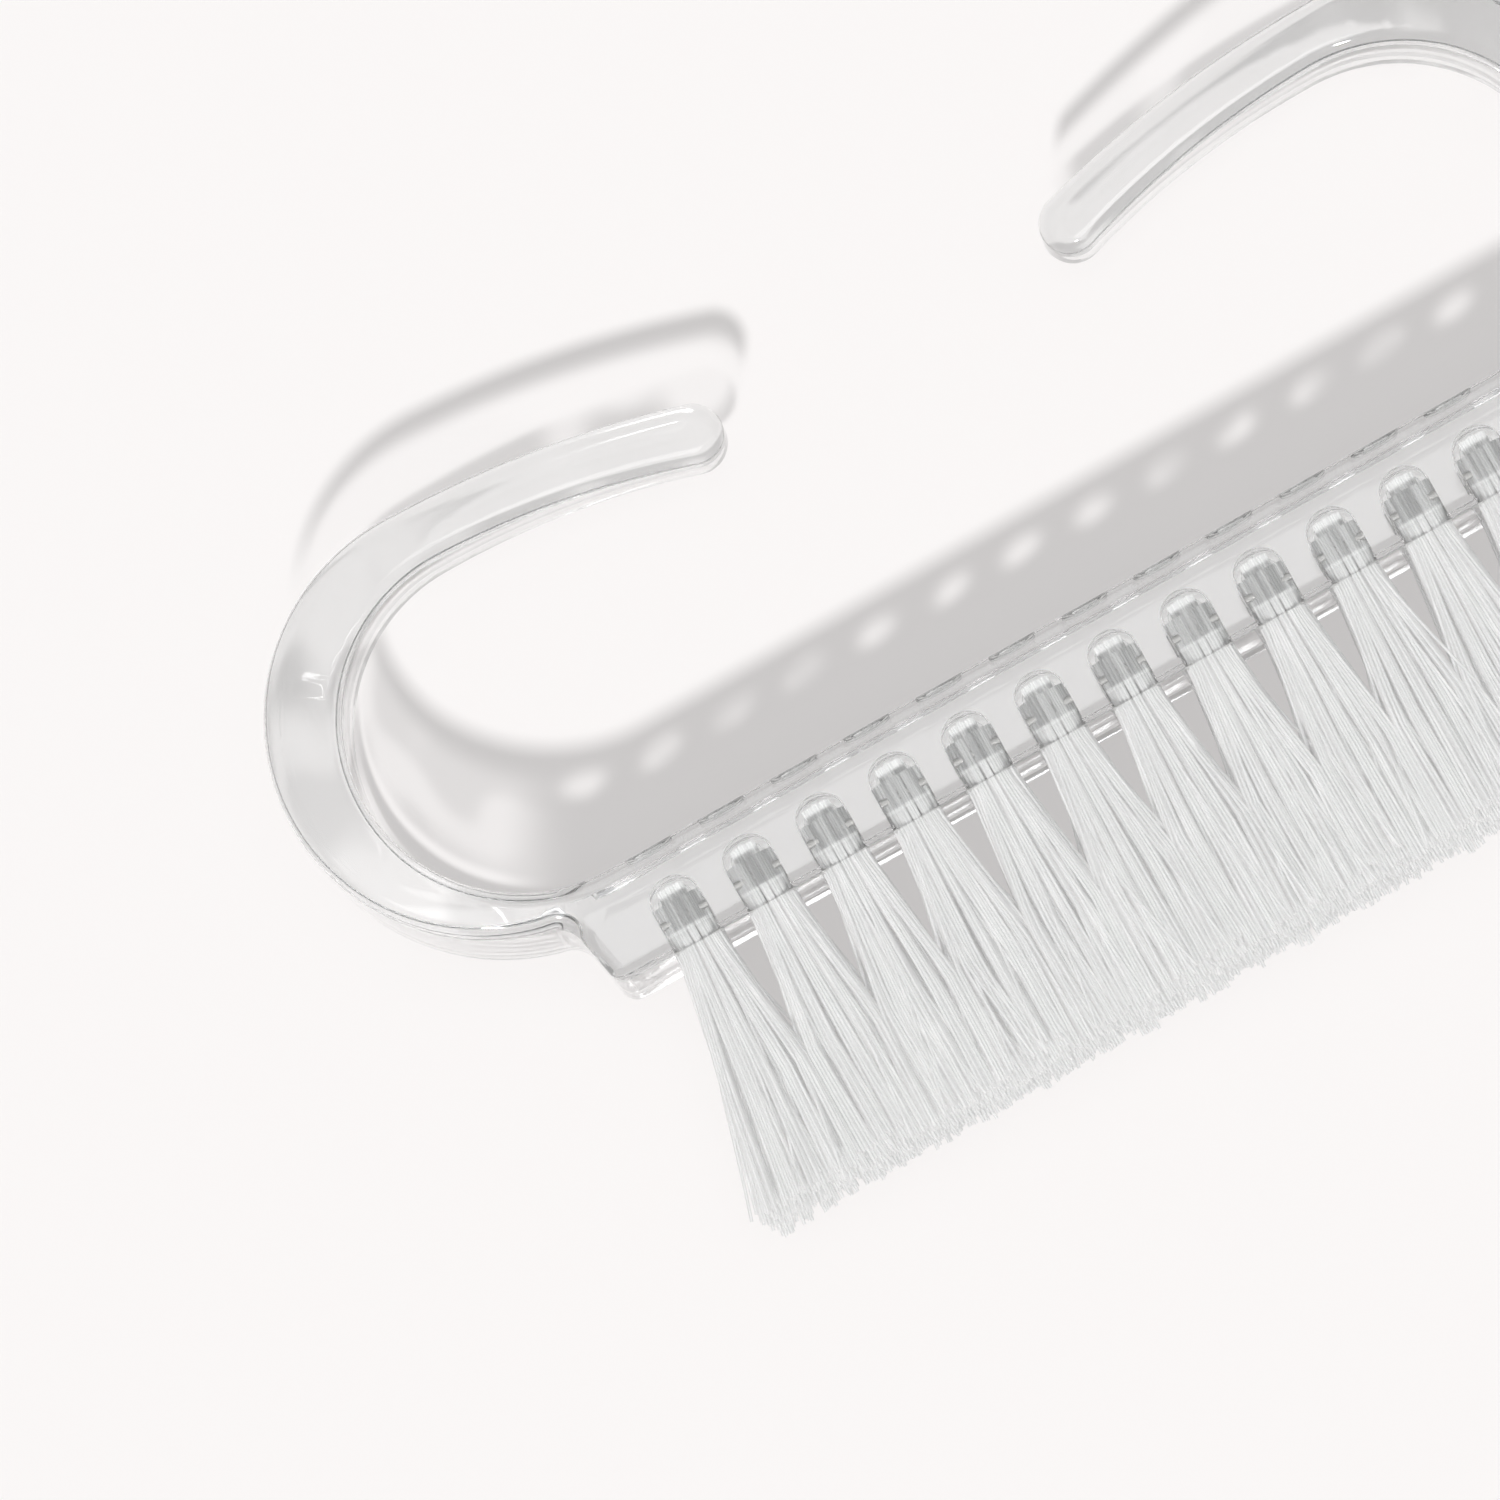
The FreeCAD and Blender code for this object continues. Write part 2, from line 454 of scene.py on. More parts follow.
    def rim_light(
        self, desk: NodeDesk, sizes: BrushSizes, place: Sequence[Any]
    ) -> bpy.types.NodeSocket:
        """Adds the painted share of lamp light that an arm's wall passes: a painted dark rim, none near its
        upper edge.

        Args:
            desk: Desk of the material.
            sizes: Sizes of the brush.
            place: Sockets of the place on the body.

        Returns:
            The share socket.
        """
        x, y, z = place
        rise = desk.math("SUBTRACT", y, sizes.place(0.0, sizes.block_height, 0.0).y)
        run = desk.math("SUBTRACT", sizes.block_length / 2 * MM, desk.math("ABSOLUTE", x))
        climbed = desk.math("MULTIPLY", rise, sizes.arm_inset_per_height)
        slope = desk.math("ADD", climbed, sizes.arm_inset * MM)
        inset = desk.math("ADD", desk.math("MULTIPLY", run, sizes.arm_inset_per_x), slope)
        edge = desk.math("SUBTRACT", sizes.block_depth * MM, inset)
        below = desk.math("SUBTRACT", edge, z)
        return desk.ramp(below, self.rim_dark * MM, self.rim_clear * MM)

    def wall_light(self, desk: NodeDesk, sizes: BrushSizes) -> bpy.types.NodeSocket:
        """Adds the painted share of lamp light that leaves by a wall of the block, the loop or the upper
        arm.

        Args:
            desk: Desk of the material.
            sizes: Sizes of the brush.

        Returns:
            The share socket.
        """
        x, y, z = desk.axes(desk.coords())
        clear = self.rim_light(desk, sizes, (x, y, z))
        patches = self.patches(desk)
        past = desk.ramp(z, self.crescent_ends * MM, self.line_starts * MM)
        past_line = desk.ramp(z, self.line_starts * MM, self.line_ends * MM)
        line = desk.math("SUBTRACT", past, past_line)
        uneven = desk.blend(self.loop_dim, self.loop_bright, patches)
        shaded = desk.math("MULTIPLY", uneven, past)
        loop = desk.math("MULTIPLY", desk.blend(shaded, self.line_pass, line), clear)
        upper = desk.math("MULTIPLY", desk.blend(self.high_dim, 1.0, patches), clear)
        high = self.climb(desk, sizes, self.high_starts, self.high_full)
        arm = self.climb(desk, sizes, self.arm_starts, self.arm_full)
        return desk.blend(self.spot_light(desk, sizes, x, z), desk.blend(loop, upper, high), arm)

    def spot_light(self, desk: NodeDesk, sizes: BrushSizes, x: Any, z: Any) -> bpy.types.NodeSocket:
        """Adds the painted soft spots of lamp light that stand for light getting through the block between
        its holes.

        Args:
            desk: Desk of the material.
            sizes: Sizes of the brush.
            x: Socket of the place along the block.
            z: Socket of the place through its depth.

        Returns:
            The share socket.
        """
        pitch = sizes.pitch * MM
        columns = desk.math("DIVIDE", desk.math("SUBTRACT", x, self.spot_shift * MM), pitch)
        off_middle = desk.math("SUBTRACT", desk.math("FRACT", columns), HALF)
        aside = desk.math("MULTIPLY", off_middle, pitch)
        above = desk.math("SUBTRACT", z, self.spot_depth * MM)
        offset = desk.add("ShaderNodeCombineXYZ", {0: aside, 1: above}).outputs[0]
        far = desk.add("ShaderNodeVectorMath", {0: offset}, operation="LENGTH").outputs["Value"]
        outside = desk.ramp(far, self.spot_bright * MM, self.spot_edge * MM)
        inside = desk.math("SUBTRACT", 1.0, outside)
        noise = desk.noise(desk.coords(), self.spot_scale, self.spot_detail)
        patches = desk.ramp(noise, self.spot_patch_dim, self.spot_patch_bright)
        uneven = desk.blend(self.spot_uneven, 1.0, patches)
        return desk.math("MULTIPLY", desk.math("MULTIPLY", inside, uneven), self.spot_pass)

    def build(self, name: str, sizes: BrushSizes, walls: bool) -> bpy.types.Material:
        """Makes the material.

        Args:
            name: Name of the material.
            sizes: Sizes of the brush.
            walls: Whether faces pass the painted share of lamp light, as the outside of the body does.

        Returns:
            The clear material.
        """
        material, desk, output = new_material(name)
        colour = (self.enter_pass, self.enter_pass, self.enter_pass, 1.0)
        if walls:
            # Painted light and shade: shadow rays pass a share of lamp light that is painted by face and
            # place.
            geometry = desk.add("ShaderNodeNewGeometry")
            lean = desk.math("ABSOLUTE", desk.axes(geometry.outputs["True Normal"])[2])
            wall = desk.math("SUBTRACT", 1.0, desk.ramp(lean, self.steep, self.flat))
            leaving = desk.blend(self.flat_light(desk, sizes), self.wall_light(desk, sizes), wall)
            share = desk.blend(leaving, self.enter_pass, geometry.outputs["Backfacing"])
            colour = desk.add("ShaderNodeCombineColor", {0: share, 1: share, 2: share}).outputs[0]
        passing = desk.add("ShaderNodeBsdfTransparent", {"Color": colour}).outputs[0]
        lamp_ray = desk.add("ShaderNodeLightPath").outputs["Is Shadow Ray"]
        desk.feed(output.inputs["Surface"], desk.mix(self.surface(desk, sizes), passing, lamp_ray))
        return material


@dataclass(frozen=True)
class NylonFilament:
    """Milky translucent nylon, uneven from filament to filament, with painted shade on the part inside the
    hole beside the anchor.
    """

    pale: tuple[float, float, float, float] = (1.0, 0.998, 0.995, 1.0)
    dull: tuple[float, float, float, float] = (0.925, 0.925, 0.922, 1.0)
    # Painted shade on the filaments inside the hole, between the low and high heights below.
    hole_shade: tuple[float, float, float, float] = (0.26, 0.26, 0.26, 1.0)
    hole_shade_low: float = 0.88
    hole_shade_high: float = 2.5
    hole_shade_fade: float = 0.12
    hole_shade_uneven: float = 0.55
    hole_shade_streak_dim: float = 0.35
    hole_shade_streak_full: float = 0.65
    glow_share: float = 0.2
    lamp_share: float = 0.9
    roughness: float = 0.32
    refraction: float = 1.53
    streak_scale: float = 2600.0
    streak_detail: float = 2.0
    streak_stretch: float = 0.04
    pale_starts: float = 0.5
    pale_full: float = 0.68

    def hole_shaded(
        self, desk: NodeDesk, sizes: BrushSizes, height: Any, streaks: Any
    ) -> bpy.types.NodeSocket:
        """Adds the share of painted shade on the filaments inside the hole, beside the anchor.

        Args:
            desk: Desk of the material.
            sizes: Sizes of the brush.
            height: Socket of the height in the frame.
            streaks: Socket of the streaks along the filaments.

        Returns:
            The share socket.
        """
        low = sizes.place(0.0, self.hole_shade_low, 0.0).y
        high = sizes.place(0.0, self.hole_shade_high, 0.0).y
        fade = self.hole_shade_fade * MM
        above = desk.ramp(height, low - fade, low + fade)
        below = desk.math("SUBTRACT", 1.0, desk.ramp(height, high - fade, high + fade))
        dark_streaks = desk.ramp(streaks, self.hole_shade_streak_dim, self.hole_shade_streak_full)
        uneven = desk.blend(self.hole_shade_uneven, 1.0, dark_streaks)
        return desk.math("MULTIPLY", desk.math("MULTIPLY", above, below), uneven)

    def build(self, sizes: BrushSizes) -> bpy.types.Material:
        """Makes the material.

        Args:
            sizes: Sizes of the brush.

        Returns:
            The filament material.
        """
        material, desk, output = new_material("nylon_filament")
        place = desk.coords()
        stretch = (1.0, self.streak_stretch, 1.0)
        along = desk.add("ShaderNodeMapping", {"Vector": place, "Scale": stretch}).outputs[0]
        streaks = desk.noise(along, self.streak_scale, self.streak_detail)
        height = desk.axes(place)[1]
        # Painted shade on the filaments inside the hole, beside the anchor.
        dark = self.hole_shaded(desk, sizes, height, streaks)
        bright = desk.ramp(streaks, self.pale_starts, self.pale_full)
        colour = desk.tint(desk.tint(self.dull, self.pale, bright), self.hole_shade, dark)
        skin = {"Base Color": colour, "Roughness": self.roughness, "IOR": self.refraction}
        solid = desk.add("ShaderNodeBsdfPrincipled", skin).outputs[0]
        through = desk.add("ShaderNodeBsdfTranslucent", {"Color": colour}).outputs[0]
        nylon = desk.mix(solid, through, self.glow_share)
        lamp_ray = desk.add("ShaderNodeLightPath").outputs["Is Shadow Ray"]
        passing = desk.add("ShaderNodeBsdfTransparent").outputs[0]
        lamp = desk.math("MULTIPLY", lamp_ray, self.lamp_share)
        desk.feed(output.inputs["Surface"], desk.mix(nylon, passing, lamp))
        return material


@dataclass(frozen=True)
class AnchorMetal:
    """Dull drawn wire with fine scratches."""

    bright: tuple[float, float, float, float] = (0.46, 0.455, 0.44, 1.0)
    dark: tuple[float, float, float, float] = (0.28, 0.275, 0.27, 1.0)
    smoothest: float = 0.55
    roughest: float = 0.75
    scratch_scale: float = 3000.0
    scratch_detail: float = 3.0
    scratch_stretch: float = 0.1

    def build(self) -> bpy.types.Material:
        """Makes the material.

        Returns:
            The metal material.
        """
        material, desk, output = new_material("anchor_wire")
        stretch = (self.scratch_stretch, 1.0, 1.0)
        along = desk.add("ShaderNodeMapping", {"Vector": desk.coords(), "Scale": stretch}).outputs[0]
        scratches = desk.noise(along, self.scratch_scale, self.scratch_detail)
        limits = {"Value": scratches, "To Min": self.smoothest, "To Max": self.roughest}
        skin = {
            "Base Color": desk.tint(self.dark, self.bright, scratches),
            "Metallic": 1.0,
            "Roughness": desk.add("ShaderNodeMapRange", limits).outputs[0],
        }
        metal = desk.add("ShaderNodeBsdfPrincipled", skin)
        desk.feed(output.inputs["Surface"], metal.outputs[0])
        return material


@dataclass(frozen=True)
class TableTop:
    """Plain pale table."""

    colour: tuple[float, float, float, float] = (0.955, 0.93, 0.922, 1.0)
    roughness: float = 0.6
    gloss: float = 0.1

    def build(self, name: str) -> bpy.types.Material:
        """Makes the material.

        Args:
            name: Name of the material.

        Returns:
            The painted material.
        """
        material, desk, output = new_material(name)
        skin = {
            "Base Color": self.colour,
            "Roughness": self.roughness,
            "Specular IOR Level": self.gloss,
        }
        paint = desk.add("ShaderNodeBsdfPrincipled", skin)
        desk.feed(output.inputs["Surface"], paint.outputs[0])
        return material


def link_object(name: str, mesh: bpy.types.Mesh) -> bpy.types.Object:
    """Puts a mesh into the scene.

    Args:
        name: Name of the object.
        mesh: Its mesh.

    Returns:
        The new object, at the origin.
    """
    thing = bpy.data.objects.new(name, mesh)
    bpy.context.scene.collection.objects.link(thing)
    return thing


def mesh_from(name: str, build: bmesh.types.BMesh) -> bpy.types.Mesh:
    """Closes a built mesh, points its faces outwards and stores it.

    Args:
        name: Name of the mesh.
        build: Mesh under construction, freed here.

    Returns:
        The stored mesh.
    """
    bmesh.ops.remove_doubles(build, verts=build.verts, dist=MERGE_DISTANCE)
    bmesh.ops.recalc_face_normals(build, faces=build.faces)
    mesh = bpy.data.meshes.new(name)
    build.to_mesh(mesh)
    build.free()
    return mesh


def skin_rings(
    build: bmesh.types.BMesh, rings: Sequence[Sequence[Vector]], caps: tuple[bool, bool]
) -> None:
    """Lays a skin over closed rings of points.

    Args:
        build: Mesh under construction.
        rings: Rings with the same number of points.
        caps: Whether the first and last ring are filled.
    """
    rows = [[build.verts.new(point) for point in ring] for ring in rings]
    for first, second in zip(rows, rows[1:]):
        for number in range(len(first)):
            after = (number + 1) % len(first)
            build.faces.new((first[number], first[after], second[after], second[number]))
    if caps[0]:
        build.faces.new(rows[0])
    if caps[1]:
        build.faces.new(rows[-1])


def pass_soft_light(piece: bpy.types.Object) -> None:
    """Lets scattered light through a clear or milky piece; only lamps shade what is behind it.

    Args:
        piece: The piece.
    """
    piece.visible_diffuse = False


def settle(thing: bpy.types.Object) -> None:
    """Replaces an object's mesh by the result of its modifiers, and removes them.

    Args:
        thing: Object to settle.
    """
    graph = bpy.context.evaluated_depsgraph_get()
    mesh = bpy.data.meshes.new_from_object(thing.evaluated_get(graph), depsgraph=graph)
    thing.modifiers.clear()
    before = thing.data
    thing.data = mesh
    bpy.data.meshes.remove(before)


def new_tree(
    name: str, inputs: dict[str, Sequence[str]]
) -> tuple[bpy.types.NodeTree, NodeDesk, bpy.types.NodeOutputs]:
    """Makes a geometry tree with named inputs.

    Args:
        name: Name of the tree.
        inputs: Names of its inputs by kind of socket.

    Returns:
        The tree, a desk for it and the outputs of its input node.
    """
    tree = bpy.data.node_groups.new(name, "GeometryNodeTree")
    face = tree.interface
    face.new_socket("Geometry", in_out="INPUT", socket_type="NodeSocketGeometry")
    face.new_socket("Geometry", in_out="OUTPUT", socket_type="NodeSocketGeometry")
    for kind, labels in inputs.items():
        for label in labels:
            face.new_socket(label, in_out="INPUT", socket_type=f"NodeSocket{kind}")
    desk = NodeDesk(tree)
    return tree, desk, desk.add("NodeGroupInput").outputs


def finish_tree(desk: NodeDesk, shape: Any, material: Any) -> None:
    """Ends a geometry tree in one plain shape with its material.

    Args:
        desk: Desk of the tree.
        shape: Socket of the shape.
        material: Socket of the material.
    """
    whole = desk.add("GeometryNodeRealizeInstances", {"Geometry": shape}).outputs[0]
    dressed = desk.add("GeometryNodeSetMaterial", {"Geometry": whole, "Material": material}).outputs[0]
    desk.add("NodeGroupOutput", {"Geometry": dressed})


def grow(name: str, tree: bpy.types.NodeTree, values: dict[str, Any]) -> bpy.types.Object:
    """Makes an object with a plain mesh from a geometry tree.

    Args:
        name: Name of the object.
        tree: The tree.
        values: Values by input name.

    Returns:
        The new object.
    """
    thing = link_object(name, bpy.data.meshes.new(name))
    grower = thing.modifiers.new("grow", "NODES")
    grower.node_group = tree
    keys = {item.name: item.identifier for item in tree.interface.items_tree if item.in_out == "INPUT"}
    for label, value in values.items():
        grower[keys[label]] = value
    settle(thing)
    return thing


def smooth(thing: bpy.types.Object) -> None:
    """Shades every face of an object smoothly.

    Args:
        thing: The object.
    """
    faces = thing.data.polygons
    faces.foreach_set("use_smooth", [True] * len(faces))


def direction(turn: float) -> Vector:
    """Unit vector at an angle in the side view."""
    return Vector((math.cos(turn), math.sin(turn)))


def steps(first: float, last: float, count: int) -> list[float]:
    """Evenly spaced numbers from first to last, both included."""
    return [first + (last - first) * number / count for number in range(count + 1)]


def soft_step(share: float) -> float:
    """Share from 0 to 1 that starts and ends softly."""
    held = min(max(share, 0.0), 1.0)
    return held * held * (3.0 - 2.0 * held)


@dataclass(frozen=True)
class Spot:
    """A point of an outline in the side view, in millimetres, with its outward normal."""

    place: Vector
    normal: Vector

    def mirrored(self) -> Spot:
        """The same spot on the other end of the brush."""
        return Spot(Vector((-self.place.x, self.place.y)), Vector((-self.normal.x, self.normal.y)))


def line_spots(first: Vector, last: Vector, normal: Vector, count: int) -> list[Spot]:
    """Spots along a straight stretch of an outline.

    Args:
        first: First point.
        last: Last point.
        normal: Outward normal.
        count: Number of steps.

    Returns:
        The spots, both ends included.
    """
    return [Spot(first.lerp(last, share), normal) for share in steps(0.0, 1.0, count)]


def arc_spots(centre: Vector, radius: float, turns: Sequence[float], hollow: bool) -> list[Spot]:
    """Spots along an arc of an outline.

    Args:
        centre: Centre of the arc.
        radius: Its radius.
        turns: Angles of the spots.
        hollow: Whether the outline is hollow there, so that the centre lies outside the body.

    Returns:
        The spots.
    """
    side = -1.0 if hollow else 1.0
    return [Spot(centre + direction(turn) * radius, direction(turn) * side) for turn in turns]


@dataclass(frozen=True)
class BodyOutline:
    """Side view of the moulding: a straight block with an arm that curls up and back from each end."""

    sizes: BrushSizes
    ring_centre: tuple[float, float] = (-23.4, 13.35)
    ring_outer_radius: float = 10.1
    ring_inner_radius: float = 8.0
    ring_inner_x: float = -22.2
    bow_outer_radius: float = 52.0
    bow_inner_radius: float = 40.0
    tip_corner_x: float = -9.2
    tip_slant: float = 0.78
    gusset_radius: float = 1.2
    end_draft: float = 0.9
    corner_radius: float = 0.8
    block_steps: int = 24
    corner_steps: int = 8
    wall_steps: int = 3
    gusset_steps: int = 9
    ring_steps: int = 90
    bow_steps: int = 26
    tip_steps: int = 28

    def end_wall(self) -> tuple[Vector, Vector, Vector]:
        """Slanted left end of the block.

        Returns:
            The foot of the wall, its upward direction and its outward normal.
        """
        top = Vector((-self.sizes.block_length / 2, self.sizes.block_height))
        foot = Vector((top.x + self.end_draft, 0.0))
        up = (top - foot).normalized()
        return foot, up, Vector((-up.y, up.x))

    def block_end(self) -> list[Spot]:
        """Underside of the block from its middle to the left, the corner, the end wall and the gusset.

        Returns:
            The spots.
        """
        foot, up, normal = self.end_wall()
        ring = Vector(self.ring_centre)
        radius = self.corner_radius
        corner = Vector((foot.x - radius * (1 + normal.y) / normal.x, radius))
        start = foot + normal * self.gusset_radius - ring
        reach = self.ring_outer_radius + self.gusset_radius
        along = start.dot(up)
        rise = -along - math.sqrt(along ** 2 - start.length_squared + reach ** 2)
        gusset = ring + start + up * rise
        wall_turn = math.atan2(normal.y, normal.x)
        first_turn = math.atan2(-normal.y, -normal.x)
        last_turn = math.atan2(ring.y - gusset.y, ring.x - gusset.x)
        middle = Vector((0.0, 0.0))
        under_end = Vector((corner.x, 0.0))
        under = line_spots(middle, under_end, Vector((0.0, -1.0)), self.block_steps)
        bend_turns = steps(-QUARTER_TURN, wall_turn, self.corner_steps)
        bend = arc_spots(corner, radius, bend_turns, False)
        wall_end = gusset - normal * self.gusset_radius
        wall = line_spots(bend[-1].place, wall_end, normal, self.wall_steps)
        hollow_turns = steps(first_turn, last_turn, self.gusset_steps)
        hollow = arc_spots(gusset, self.gusset_radius, hollow_turns, True)
        return under + bend[1:] + wall[1:] + hollow[1:]

    def arm_outside(self, start: Vector) -> list[Spot]:
        """Outer side of the arm from the gusset to where the tip begins.

        Args:
            start: Where the gusset ends.

        Returns:
            The spots, without the one at the start.
        """
        ring = Vector(self.ring_centre)
        first = math.atan2(start.y - ring.y, start.x - ring.x) % FULL_TURN
        bow = ring + Vector((0.0, self.ring_outer_radius - self.bow_outer_radius))
        last = QUARTER_TURN - math.asin((self.tip_corner_x - bow.x) / self.bow_outer_radius)
        round_turns = steps(first, QUARTER_TURN, self.ring_steps)
        round_part = arc_spots(ring, self.ring_outer_radius, round_turns, False)
        long_turns = steps(QUARTER_TURN, last, self.bow_steps)
        long_part = arc_spots(bow, self.bow_outer_radius, long_turns, False)
        return round_part[1:] + long_part[1:]

    def arm_inside(self) -> list[Spot]:
        """Inner side of the arm from the tip to the block, and the top of the block to its middle.

        Returns:
            The spots.
        """
        top = self.sizes.block_height
        ring = Vector((self.ring_inner_x, top + self.ring_inner_radius))
        bow = ring + Vector((0.0, self.ring_inner_radius - self.bow_inner_radius))
        end_x = self.tip_corner_x - self.tip_slant
        first = QUARTER_TURN - math.asin((end_x - bow.x) / self.bow_inner_radius)
        long_turns = steps(first, QUARTER_TURN, self.bow_steps)
        long_part = arc_spots(bow, self.bow_inner_radius, long_turns, True)
        round_turns = steps(QUARTER_TURN, 3 * QUARTER_TURN, self.ring_steps)
        round_part = arc_spots(ring, self.ring_inner_radius, round_turns, True)
        flat_start = Vector((self.ring_inner_x, top))
        flat_end = Vector((0.0, top))
        flat_part = line_spots(flat_start, flat_end, Vector((0.0, 1.0)), self.block_steps)
        return long_part + round_part[1:] + flat_part[1:]

    def tip(self, outer: Vector, inner: Vector) -> list[Spot]:
        """Half-round tip of the arm.

        Args:
            outer: End of the outer side.
            inner: End of the inner side.

        Returns:
            The spots between both ends, without them.
        """
        side = (outer - inner) / 2
        ahead = Vector((side.y, -side.x))
        spots = []
        for turn in steps(0.0, 2 * QUARTER_TURN, self.tip_steps)[1:-1]:
            out = side * math.cos(turn) + ahead * math.sin(turn)
            spots.append(Spot(inner + side + out, out.normalized()))
        return spots

    def spots(self) -> list[Spot]:
        """Whole outline, once round.

        Returns:
            The spots.
        """
        half = self.block_end()
        half += self.arm_outside(half[-1].place)
        inside = self.arm_inside()
        half += self.tip(half[-1].place, inside[0].place) + inside
        return half + [spot.mirrored() for spot in reversed(half[1:-1])]


@dataclass
class MouldedBody:
    """Block and both arms as one clear moulding, with the blind tuft holes."""

    sizes: BrushSizes
    finish: bpy.types.Material
    hole_finish: bpy.types.Material
    flush_rise: float = 6.0
    edge_steps: int = 7
    hole_sides: int = 40
    dome_steps: int = 6
    dome_share: float = 0.4
    plug_overrun: float = 1.0
    smooth_angle: float = math.radians(38)

    def side_inset(self, point: Vector) -> float:
        """Distance of a flat side from the block's side: none beside the block, more towards the tips.

        Args:
            point: Point in the side view.

        Returns:
            The distance in millimetres.
        """
        sizes = self.sizes
        rise = point.y - sizes.block_height
        run = sizes.block_length / 2 - abs(point.x)
        inset = sizes.arm_inset + sizes.arm_inset_per_height * rise + sizes.arm_inset_per_x * run
        return soft_step(rise / self.flush_rise) * max(inset, 0.0)

    def edge_point(self, spot: Spot, turn: float, upper: bool) -> Vector:
        """Point on a rounded edge.

        Args:
            spot: Spot of the outline.
            turn: Angle round the edge, from the flat side at 0 to the wall at a quarter turn.
            upper: Whether the edge is on the upper side.

        Returns:
            The point in metres.
        """
        radius = self.sizes.edge_radius
        inside = spot.place - spot.normal * radius * (1 - math.sin(turn))
        depth = self.side_inset(inside) + radius * (1 - math.cos(turn))
        if upper:
            depth = self.sizes.block_depth - depth
        return self.sizes.place(inside.x, inside.y, depth)

    def shell(self) -> bpy.types.Object:
        """Closed shell of the moulding before the holes are cut.

        Returns:
            The shell.
        """
        outline = BodyOutline(self.sizes).spots()
        turns = steps(0.0, QUARTER_TURN, self.edge_steps)
        rings = [[self.edge_point(spot, turn, False) for spot in outline] for turn in turns]
        rings += [[self.edge_point(spot, turn, True) for spot in outline] for turn in reversed(turns)]
        build = bmesh.new()
        skin_rings(build, rings, (True, True))
        sides = [face for face in build.faces if len(face.verts) == len(outline)]
        bmesh.ops.triangulate(build, faces=sides)
        return link_object("clear_body", mesh_from("clear_body", build))

    def hole_shells(self) -> bpy.types.Object:
        """Plugs with domed tops that cut all the tuft holes.

        Returns:
            One object with all the plugs.
        """
        sizes = self.sizes
        build = bmesh.new()
        radius = sizes.hole_diameter / 2
        shoulder = sizes.hole_depth - radius * self.dome_share
        crown = sizes.hole_depth + sizes.hole_point - shoulder
        profile = [(radius, -self.plug_overrun), (radius, shoulder)]
        for turn in steps(0.0, QUARTER_TURN, self.dome_steps)[1:]:
            profile.append((radius * math.cos(turn), shoulder + crown * math.sin(turn)))
        turns = steps(0.0, FULL_TURN, self.hole_sides)[:-1]
        ways = [(math.cos(turn), math.sin(turn)) for turn in turns]
        for _, _, x, depth in sizes.tuft_places():
            rings = [
                [sizes.place(x + reach * way[0], height, depth + reach * way[1]) for way in ways]
                for reach, height in profile
            ]
            skin_rings(build, rings, (True, False))
        return link_object("hole_plugs", mesh_from("hole_plugs", build))

    def build(self) -> bpy.types.Object:
        """Cuts the holes and smooths the result.

        Returns:
            The finished body.
        """
        body = self.shell()
        body.data.materials.append(self.finish)
        plugs = self.hole_shells()
        plugs.data.materials.append(self.hole_finish)
        drill = body.modifiers.new("tuft_holes", "BOOLEAN")
        drill.object = plugs
        drill.operation = "DIFFERENCE"
        drill.solver = "EXACT"
        drill.material_mode = "TRANSFER"
        settle(body)
        plug_mesh = plugs.data
        bpy.data.objects.remove(plugs)
        bpy.data.meshes.remove(plug_mesh)
        smooth(body)
        body.data.set_sharp_from_angle(angle=self.smooth_angle)
        even = body.modifiers.new("even_normals", "WEIGHTED_NORMAL")
        even.keep_sharp = True
        settle(body)
        return body

    def dress(self, body: bpy.types.Object) -> None:
        """Gives the body its place in the frame.

        Args:
            body: The finished body.
        """
        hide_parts("body")
        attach(body, ROOT_BODY)
        pass_soft_light(body)


